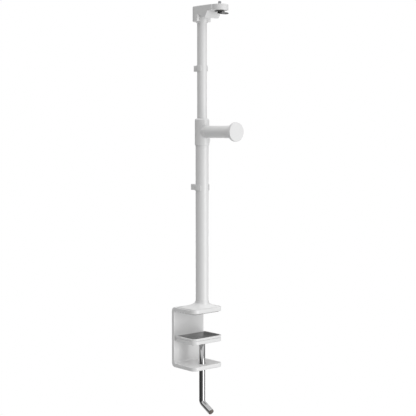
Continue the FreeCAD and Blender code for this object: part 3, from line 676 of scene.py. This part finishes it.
# =============================================================================
# Pieces of the pole
# =============================================================================
def make_tube(name, node, wall):
    """Drawn tube with lightly broken ends."""
    low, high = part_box(node)
    outer = radius_of(node)
    inner, ease = outer - wall, TUBE_EASE
    length = high.z - low.z
    profile = [(inner, low.z + ease), (inner + ease, low.z),
               (outer - ease, low.z), (outer, low.z + ease)]
    profile += [(outer, low.z + length * k / 12) for k in range(1, 12)]
    profile += [(outer, high.z - ease), (outer - ease, high.z), (inner + ease, high.z),
                (inner, high.z - ease)]
    return to_mesh(name, turn_profile(profile, 128, closed=True), 30)


def make_swivel_ring():
    """Ring under the head with a rounded lower edge."""
    low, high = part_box("swivel_collar")
    outer, inner = radius_of("swivel_collar"), radius_of("upper_tube") + 0.02 * MM
    profile = [(inner, low.z), (outer - 1.4 * MM, low.z)]
    profile += corner_arc(outer - 1.2 * MM, low.z + 1.2 * MM, 1.2 * MM, -80, 0)
    profile += corner_arc(outer - 0.5 * MM, high.z - 0.5 * MM, 0.5 * MM, 0, 90)
    profile += [(inner, high.z)]
    return to_mesh("swivel_ring", turn_profile(profile, 128, closed=True), 30)


def handle_place():
    """Frame of the handle: its own Z runs out along the handle."""
    low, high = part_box("handle_flange")
    return side_frame(Vector((0, -1, 0)), Vector((0, 0, (low.z + high.z) / 2)))


def make_grip():
    """Waisted moulded grip, wider at its tip, with a rounded root."""
    low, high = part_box("handle_grip")
    root, tip = -high.y, -low.y
    length = tip - root
    bore, spigot = 4.1 * MM, 3.05 * MM
    profile = [(bore, root), (10.9 * MM, root)]
    profile += corner_arc(11.0 * MM, root + 1.0 * MM, 1.0 * MM, -90, 0)
    for k in range(25):
        part = k / 24
        radius = GRIP_ROOT_R - GRIP_DRAW_IN * part + GRIP_FLARE * part ** 2
        profile.append((radius * MM, root + 1.2 * MM + (length - 1.2 * MM) * part))
    profile += [(spigot, tip), (spigot, tip - 12 * MM), (bore, tip - 12.4 * MM)]
    shape = turn_profile(profile, 112, closed=True, place=handle_place())
    return to_mesh("handle_grip_moulding", shape, 30)


def make_end_disc():
    """End disc of the handle with rounded rims and a very slightly domed face."""
    low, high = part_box("handle_flange")
    face, radius = -low.y, (high.z - low.z) / 2
    back, rim = face - DISC_THICK, DISC_RIM
    profile = [(0.2 * MM, -high.y), (SPIGOT_R, -high.y), (SPIGOT_R, back), (radius - rim, back)]
    profile += corner_arc(radius - rim, back + rim, rim, -80, 0, 7)
    profile += corner_arc(radius - rim, face - rim, rim, 0, 84, 7)
    profile += [(radius * part, face - 0.15 * MM * part ** 2) for part in (0.85, 0.6, 0.3)]
    profile += [(0.2 * MM, face)]
    return to_mesh("handle_end_disc", turn_profile(profile, 128, place=handle_place()), 30)


def arc_points(centre, radius, start, end, steps):
    """Points of an arc in plan; angles in radians, end not repeated."""
    return [centre + Vector((radius * math.cos(start + (end - start) * k / steps),
                             radius * math.sin(start + (end - start) * k / steps), 0))
            for k in range(steps)]


def clip_outline(node, tube_node):
    """Plan of a snap-on clip: open band, rolled lips in front, waisted tie lug behind."""
    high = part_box(node)[1]
    inner = radius_of(tube_node) + 0.05 * MM
    outer, half = inner + CLIP_THICK, CLIP_LUG_HALF
    mouth, lip = CLIP_MOUTH, CLIP_LIP_R
    zero = Vector((0, 0, 0))
    front = math.radians(-90.0)
    bulb_mid = Vector((0, high.y - half, 0))
    waist = half * 0.56
    join = math.pi / 2 - math.asin(waist * 1.5 / outer)
    points = arc_points(zero, outer, front + mouth + 0.05, join, 26)
    points.append(Vector((waist * 1.12, outer + 0.5 * MM, 0)))
    gap = bulb_mid.y - half - outer
    for k in range(1, 5):
        points.append(Vector((waist, outer + 0.9 * MM + (gap - 0.6 * MM) * k / 5, 0)))
    lug_start = -math.acos(min(1.0, waist * 1.15 / half))
    points += arc_points(bulb_mid, half, lug_start, math.pi / 2, 14)
    points.append(Vector((0, high.y, 0)))
    points += [Vector((-p.x, p.y, 0)) for p in reversed(points[:-1])]
    left_lip = Vector((-(inner + lip) * math.sin(mouth), -(inner + lip) * math.cos(mouth), 0))
    right_lip = Vector((-left_lip.x, left_lip.y, 0))
    out_left = front - mouth
    points += arc_points(left_lip, lip, out_left + math.radians(15),
                         out_left + math.radians(165), 9)
    sweep_in = TURN - 2 * mouth - 0.24
    points += arc_points(zero, inner, out_left - 0.12, out_left - 0.12 - sweep_in, 44)
    out_right = front + mouth
    points += arc_points(right_lip, lip, out_right + math.radians(195),
                         out_right + math.radians(345), 9)
    return points


def make_clip(name, node, tube_node):
    """Snap-on clip cut from its plan, with softened upper and lower edges."""
    low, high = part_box(node)
    outline = clip_outline(node, tube_node)
    shape = bmesh.new()
    stack_rings(shape, slab_rings(outline, low.z, high.z, 0.45 * MM, 0.45 * MM, 3))
    shape.normal_update()
    bmesh.ops.triangulate(shape, faces=[f for f in shape.faces if len(f.verts) > 4],
                          quad_method="BEAUTY", ngon_method="EAR_CLIP")
    return to_mesh(name, shape, 40)


# =============================================================================
# Pieces of the head
# =============================================================================
def make_threaded_stud():
    """Device screw: turned neck, then a rolled helical thread with a chamfered tip."""
    low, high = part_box("mount_stud")
    centre_y = (low.y + high.y) / 2
    top_r, neck_r, pitch = radius_of("mount_stud"), STUD_NECK_R, THREAD_PITCH
    thread_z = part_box("head_housing")[1].z + 0.3 * MM
    count, per_pitch = 64, 12
    rows = int(round((high.z - thread_z) / pitch * per_pitch))
    rings = []
    for radius, z in ((0.3 * MM, low.z), (neck_r, low.z), (neck_r, thread_z)):
        rings.append(circle(radius, z, count, centre_y))
    for row in range(rows + 1):
        z = thread_z + (high.z - thread_z) * row / rows
        ease = min(1.0, (high.z - z) / (0.7 * MM), (z - thread_z) / (0.4 * MM) + 0.3)
        ring = []
        for k in range(count):
            phase = (z / pitch - k / count) % 1.0
            ridge = 1.0 - abs(2.0 * phase - 1.0)
            depth = THREAD_DEPTH * min(1.0, max(0.0, 1.25 * (1.0 - ridge) - 0.12))
            radius = top_r - depth - 0.6 * MM * (1.0 - ease)
            ring.append(Vector((radius * math.cos(TURN * k / count),
                                centre_y + radius * math.sin(TURN * k / count), z)))
        rings.append(ring)
    rings.append(circle(top_r * 0.35, high.z, count, centre_y))
    shape = bmesh.new()
    stack_rings(shape, rings)
    return to_mesh("threaded_stud", shape, 60)


def make_knurled_wheel():
    """Thumb wheel with straight knurling, chamfered rims and a hub for the ring."""
    low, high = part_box("thumb_wheel")
    centre_y = (low.y + high.y) / 2
    radius, wheel_low = radius_of("thumb_wheel"), high.z - WHEEL_THICK
    per_tooth = 6
    count = WHEEL_TEETH * per_tooth

    def ring(size, z, knurl):
        points = []
        for k in range(count):
            wave = 0.5 - 0.5 * math.cos(TURN * k / per_tooth)
            r = size - knurl * wave
            angle = TURN * k / count
            points.append(Vector((r * math.cos(angle), centre_y + r * math.sin(angle), z)))
        return points

    rows = [(0.4 * MM, low.z, 0), (HUB_R - 0.3 * MM, low.z, 0), (HUB_R, low.z + 0.3 * MM, 0),
            (HUB_R, wheel_low, 0), (radius - 0.7 * MM, wheel_low, 0),
            (radius - 0.1 * MM, wheel_low + 0.35 * MM, 0.35 * MM),
            (radius, wheel_low + 0.5 * MM, 0.45 * MM), (radius, high.z - 0.5 * MM, 0.45 * MM),
            (radius - 0.1 * MM, high.z - 0.35 * MM, 0.35 * MM),
            (radius - 0.7 * MM, high.z, 0), (2.0 * MM, high.z, 0)]
    shape = bmesh.new()
    stack_rings(shape, [ring(size, z, knurl) for size, z, knurl in rows])
    return to_mesh("knurled_wheel", shape, 40)


def make_wire_ring():
    """Folding wire loop: hinge bar through the hub, rounded corners and a round bow."""
    low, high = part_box("thumb_wheel")
    centre = Vector((0, (low.y + high.y) / 2, low.z + 1.9 * MM))
    half, reach, corner = RING_HALF, RING_REACH, RING_CORNER
    tip = reach - half
    flat = [Vector((x * (half - corner) / 4, 0, 0)) for x in (2, 0, -2)]
    flat += arc_points(Vector((corner - half, corner, 0)), corner, -math.pi / 2, -math.pi, 8)
    flat += [Vector((-half, corner + (tip - corner) * k / 3, 0)) for k in range(3)]
    flat += arc_points(Vector((0, tip, 0)), half, math.pi, 0.0, 32)
    flat += [Vector((half, tip + (corner - tip) * k / 3, 0)) for k in range(3)]
    flat += arc_points(Vector((half - corner, corner, 0)), corner, 0.0, -math.pi / 2, 8)
    flat.append(Vector((half - corner, 0, 0)))
    turn = (Matrix.Translation(centre) @ Matrix.Rotation(RING_TURN, 4, "Z")
            @ Matrix.Rotation(RING_DROOP, 4, "X") @ Matrix.Rotation(math.pi, 4, "Z"))
    shape = bmesh.new()
    sweep(shape, [turn @ point for point in flat], RING_WIRE, count=20, closed=True)
    return to_mesh("folding_wire_ring", shape, 60)


# =============================================================================
# Every piece, with its body, its slot and the CAD node it stands for
# =============================================================================
add_piece("dished_foot", make_dished_foot(), "stand", "stand_paint", "pole_foot")
add_piece("clamp_casting", make_soft_casting("clamp_casting", "clamp_bracket", 0.8 * MM, 3,
                                             plan_trim("clamp_bracket", CORNER_R, 0.5 * MM)),
          "stand", "stand_paint", "clamp_bracket")
add_piece("jaw_tray", make_soft_casting("jaw_tray", "jaw_rim", 0.5 * MM, 2,
                                        plan_trim("jaw_rim", CORNER_R, JAW_REAR_R)),
          "jaw", "jaw_paint", "jaw_rim")
add_piece("jaw_plate", make_soft_casting("jaw_plate", "jaw_body", 0.6 * MM, 3,
                                         plan_trim("jaw_body", CORNER_R, JAW_REAR_R)),
          "jaw", "jaw_paint", "jaw_body")
add_piece("jaw_rubber_pad", make_slab("jaw_rubber_pad", "jaw_pad", CORNER_R - 2.4 * MM, PAD_REAR_R,
                                      0.2 * MM, 0.7 * MM),
          "jaw", "pad_rubber", "jaw_pad")
add_piece("bent_spindle", make_spindle(), "spindle_unit", "spindle_chrome", "spindle")
add_piece("end_plug", make_end_plug(), "spindle_unit", "plug_plastic", "spindle_plug")
add_piece("lower_pole_tube", make_tube("lower_pole_tube", "lower_tube", LOWER_WALL),
          "stand", "tube_aluminium", "lower_tube")
add_piece("upper_pole_tube", make_tube("upper_pole_tube", "upper_tube", UPPER_WALL),
          "upper_pole", "tube_aluminium", "upper_tube")
add_piece("swivel_ring", make_swivel_ring(), "upper_pole", "head_aluminium", "swivel_collar")
add_piece("handle_grip_moulding", make_grip(), "lock_handle", "grip_plastic", "handle_grip")
add_piece("handle_end_disc", make_end_disc(), "lock_handle", "grip_plastic", "handle_flange")
add_piece("lower_snap_clip", make_clip("lower_snap_clip", "lower_cable_clip", "lower_tube"),
          "lower_clip", "clip_plastic", "lower_cable_clip")
add_piece("upper_snap_clip", make_clip("upper_snap_clip", "upper_cable_clip", "upper_tube"),
          "upper_clip", "clip_plastic", "upper_cable_clip")
add_piece("head_casting", make_soft_casting("head_casting", "head_housing", 0.6 * MM, 9),
          "head", "head_aluminium", "head_housing")
add_piece("threaded_stud", make_threaded_stud(), "device_screw", "zinc_steel", "mount_stud")
add_piece("knurled_wheel", make_knurled_wheel(), "device_screw", "black_steel", "thumb_wheel")
add_piece("folding_wire_ring", make_wire_ring(), "folding_ring", "black_steel", "d_ring")


# =============================================================================
# Stage: floor, surroundings and camera
# =============================================================================
def add_floor():
    """Pale floor well under the hanging spindle, plain white to the eye."""
    finish = bpy.data.materials.new("pale_floor")
    finish.use_nodes = True
    tree = finish.node_tree
    tree.nodes.clear()
    glow = add_node(tree, "ShaderNodeEmission", inputs={"Color": (1.0, 1.0, 1.0, 1.0)})
    out = add_node(tree, "ShaderNodeOutputMaterial")
    link(tree, glow.outputs["Emission"], out.inputs["Surface"])
    shape = bmesh.new()
    bmesh.ops.create_grid(shape, x_segments=8, y_segments=8, size=FLOOR_HALF)
    bmesh.ops.translate(shape, vec=(0, 0, CAD_BOX[0][2] - FLOOR_DROP), verts=shape.verts)
    mesh = bpy.data.meshes.new("floor")
    shape.to_mesh(mesh)
    shape.free()
    mesh.materials.append(finish)
    floor = bpy.data.objects.new("floor", mesh)
    bpy.context.scene.collection.objects.link(floor)
    floor.visible_diffuse = False
    floor.visible_glossy = False
    floor.visible_shadow = False


VIEW_SIDE = math.radians(41.5)
TOWARDS_EYE = Vector((-math.sin(VIEW_SIDE), -math.cos(VIEW_SIDE), 0.0))
EYE_RIGHT = Vector((math.cos(VIEW_SIDE), -math.sin(VIEW_SIDE), 0.0))
CAMERA_DISTANCE, CAMERA_RIGHT, CAMERA_HEIGHT = 2.080, 0.01163, 0.360
CAMERA_DIP, CAMERA_LENS = 4.19, 91.6
FLOOR_DROP, FLOOR_HALF = 0.26, 6.0


def seen_from(side_deg, rise_deg):
    """Direction from the object, side_deg round to the right of the viewer and rise_deg up."""
    side, rise = math.radians(side_deg), math.radians(rise_deg)
    level = TOWARDS_EYE * math.cos(side) + EYE_RIGHT * math.sin(side)
    return level * math.cos(rise) + Vector((0, 0, math.sin(rise)))


def add_camera():
    """Camera at standing height, looking slightly down at the middle of the pole."""
    data = bpy.data.cameras.new("camera")
    data.lens = CAMERA_LENS
    data.sensor_width = 36.0
    camera = bpy.data.objects.new("camera", data)
    camera.location = (TOWARDS_EYE * CAMERA_DISTANCE + EYE_RIGHT * CAMERA_RIGHT
                       + Vector((0, 0, CAMERA_HEIGHT)))
    camera.rotation_euler = (math.radians(90.0 - CAMERA_DIP), 0.0, -VIEW_SIDE)
    bpy.context.scene.collection.objects.link(camera)
    bpy.context.scene.camera = camera


def facing_value(tree, where, side_deg):
    """How far a direction points towards one side of the tent, from -1 to 1."""
    facing = add_node(tree, "ShaderNodeVectorMath", operation="DOT_PRODUCT")
    facing.inputs[1].default_value = seen_from(side_deg, 0)
    link(tree, where.outputs["Generated"], facing.inputs[0])
    return facing.outputs["Value"]


def soft_step(tree, value, start, end, low, high):
    """Smooth change from low to high as a value goes from start to end."""
    step = add_node(tree, "ShaderNodeMapRange", interpolation_type="SMOOTHSTEP",
                    inputs={"From Min": start, "From Max": end, "To Min": low, "To Max": high})
    link(tree, value, step.inputs["Value"])
    return step.outputs["Result"]


def combined(tree, operation, first, second):
    """Result of a math operation on two sockets, or on a socket and a number."""
    node = add_node(tree, "ShaderNodeMath", operation=operation)
    for slot, value in enumerate((first, second)):
        if isinstance(value, (int, float)):
            node.inputs[slot].default_value = value
        else:
            link(tree, value, node.inputs[slot])
    return node.outputs["Value"]


def add_surroundings():
    """Soft white tent, with a level band that is lit on the viewer's right and dark on the left."""
    world = bpy.data.worlds.new("studio")
    bpy.context.scene.world = world
    world.use_nodes = True
    tree = world.node_tree
    tree.nodes.clear()
    where = add_node(tree, "ShaderNodeTexCoord")
    split = add_node(tree, "ShaderNodeSeparateXYZ")
    link(tree, where.outputs["Generated"], split.inputs["Vector"])
    rise = split.outputs["Z"]
    height = combined(tree, "ABSOLUTE", rise, 0.0)
    lit_side = facing_value(tree, where, TENT_SIDE)
    sky = add_node(tree, "ShaderNodeMix", data_type="FLOAT")
    link(tree, soft_step(tree, rise, -0.2, 0.2, 0.0, 1.0), sky.inputs[0])
    link(tree, soft_step(tree, lit_side, -0.7, 0.7, FLOOR_SHADE, FLOOR_BRIGHT), sky.inputs[2])
    link(tree, soft_step(tree, lit_side, -0.9, 0.6, ROOF_SHADE, ROOF_BRIGHT), sky.inputs[3])
    front = soft_step(tree, facing_value(tree, where, BAND_SIDE), BAND_START, BAND_END, 0.0, 1.0)
    fade = soft_step(tree, facing_value(tree, where, BAND_FADE_SIDE), -0.5, 0.95, BAND_FAR, BAND_NEAR)
    behind = soft_step(tree, facing_value(tree, where, 180.0), 0.55, 0.95, 0.0, BACKDROP)
    band = combined(tree, "ADD", combined(tree, "MULTIPLY", front, fade), behind)
    band = combined(tree, "ADD", band, BAND_DARK)
    inside = soft_step(tree, height, BAND_RISE + 0.12, BAND_RISE, 0.0, 1.0)
    blend = add_node(tree, "ShaderNodeMix", data_type="FLOAT")
    link(tree, inside, blend.inputs[0])
    link(tree, sky.outputs[0], blend.inputs[2])
    link(tree, band, blend.inputs[3])
    path = add_node(tree, "ShaderNodeLightPath")
    shown = add_node(tree, "ShaderNodeMix", data_type="FLOAT")
    shown.inputs[3].default_value = 1.0
    link(tree, path.outputs["Is Camera Ray"], shown.inputs[0])
    link(tree, blend.outputs[0], shown.inputs[2])
    glow = add_node(tree, "ShaderNodeBackground", inputs={"Color": (1.0, 1.0, 1.0, 1.0)})
    out = add_node(tree, "ShaderNodeOutputWorld")
    link(tree, shown.outputs[0], glow.inputs["Strength"])
    link(tree, glow.outputs["Background"], out.inputs["Surface"])


def add_softbox(name, side_deg, rise_deg, distance, width, height, power):
    """Large soft light aimed at the middle of the pole."""
    data = bpy.data.lights.new(name, "AREA")
    data.shape = "RECTANGLE"
    data.size, data.size_y = width, height
    data.energy = power
    lamp = bpy.data.objects.new(name, data)
    aim = (Vector(CAD_BOX[0]) + Vector(CAD_BOX[1])) * 0.5
    away = seen_from(side_deg, rise_deg)
    lamp.location = aim + away * distance
    lamp.rotation_euler = away.to_track_quat("Z", "Y").to_euler()
    lamp.visible_camera = False
    bpy.context.scene.collection.objects.link(lamp)


# The tent: sides in degrees round to the viewer's right, brightness as radiance
TENT_SIDE = 40.0
FLOOR_SHADE, FLOOR_BRIGHT = 0.62, 0.62
ROOF_SHADE, ROOF_BRIGHT = 1.05, 1.02
BAND_SIDE, BAND_START, BAND_END = 70.0, 0.05, 0.55
BAND_FADE_SIDE, BAND_NEAR, BAND_FAR = 0.0, 0.42, 0.15
BAND_DARK, BAND_RISE = 0.07, 0.27
BACKDROP = 0.05

add_floor()
add_camera()
add_surroundings()
add_softbox("key_softbox", 58.0, -8.0, 2.6, 1.3, 1.8, 29.0)
add_softbox("rear_softbox", 180.0, -14.0, 2.6, 1.8, 0.8, 8.0)
bpy.context.scene.view_settings.view_transform = "Standard"
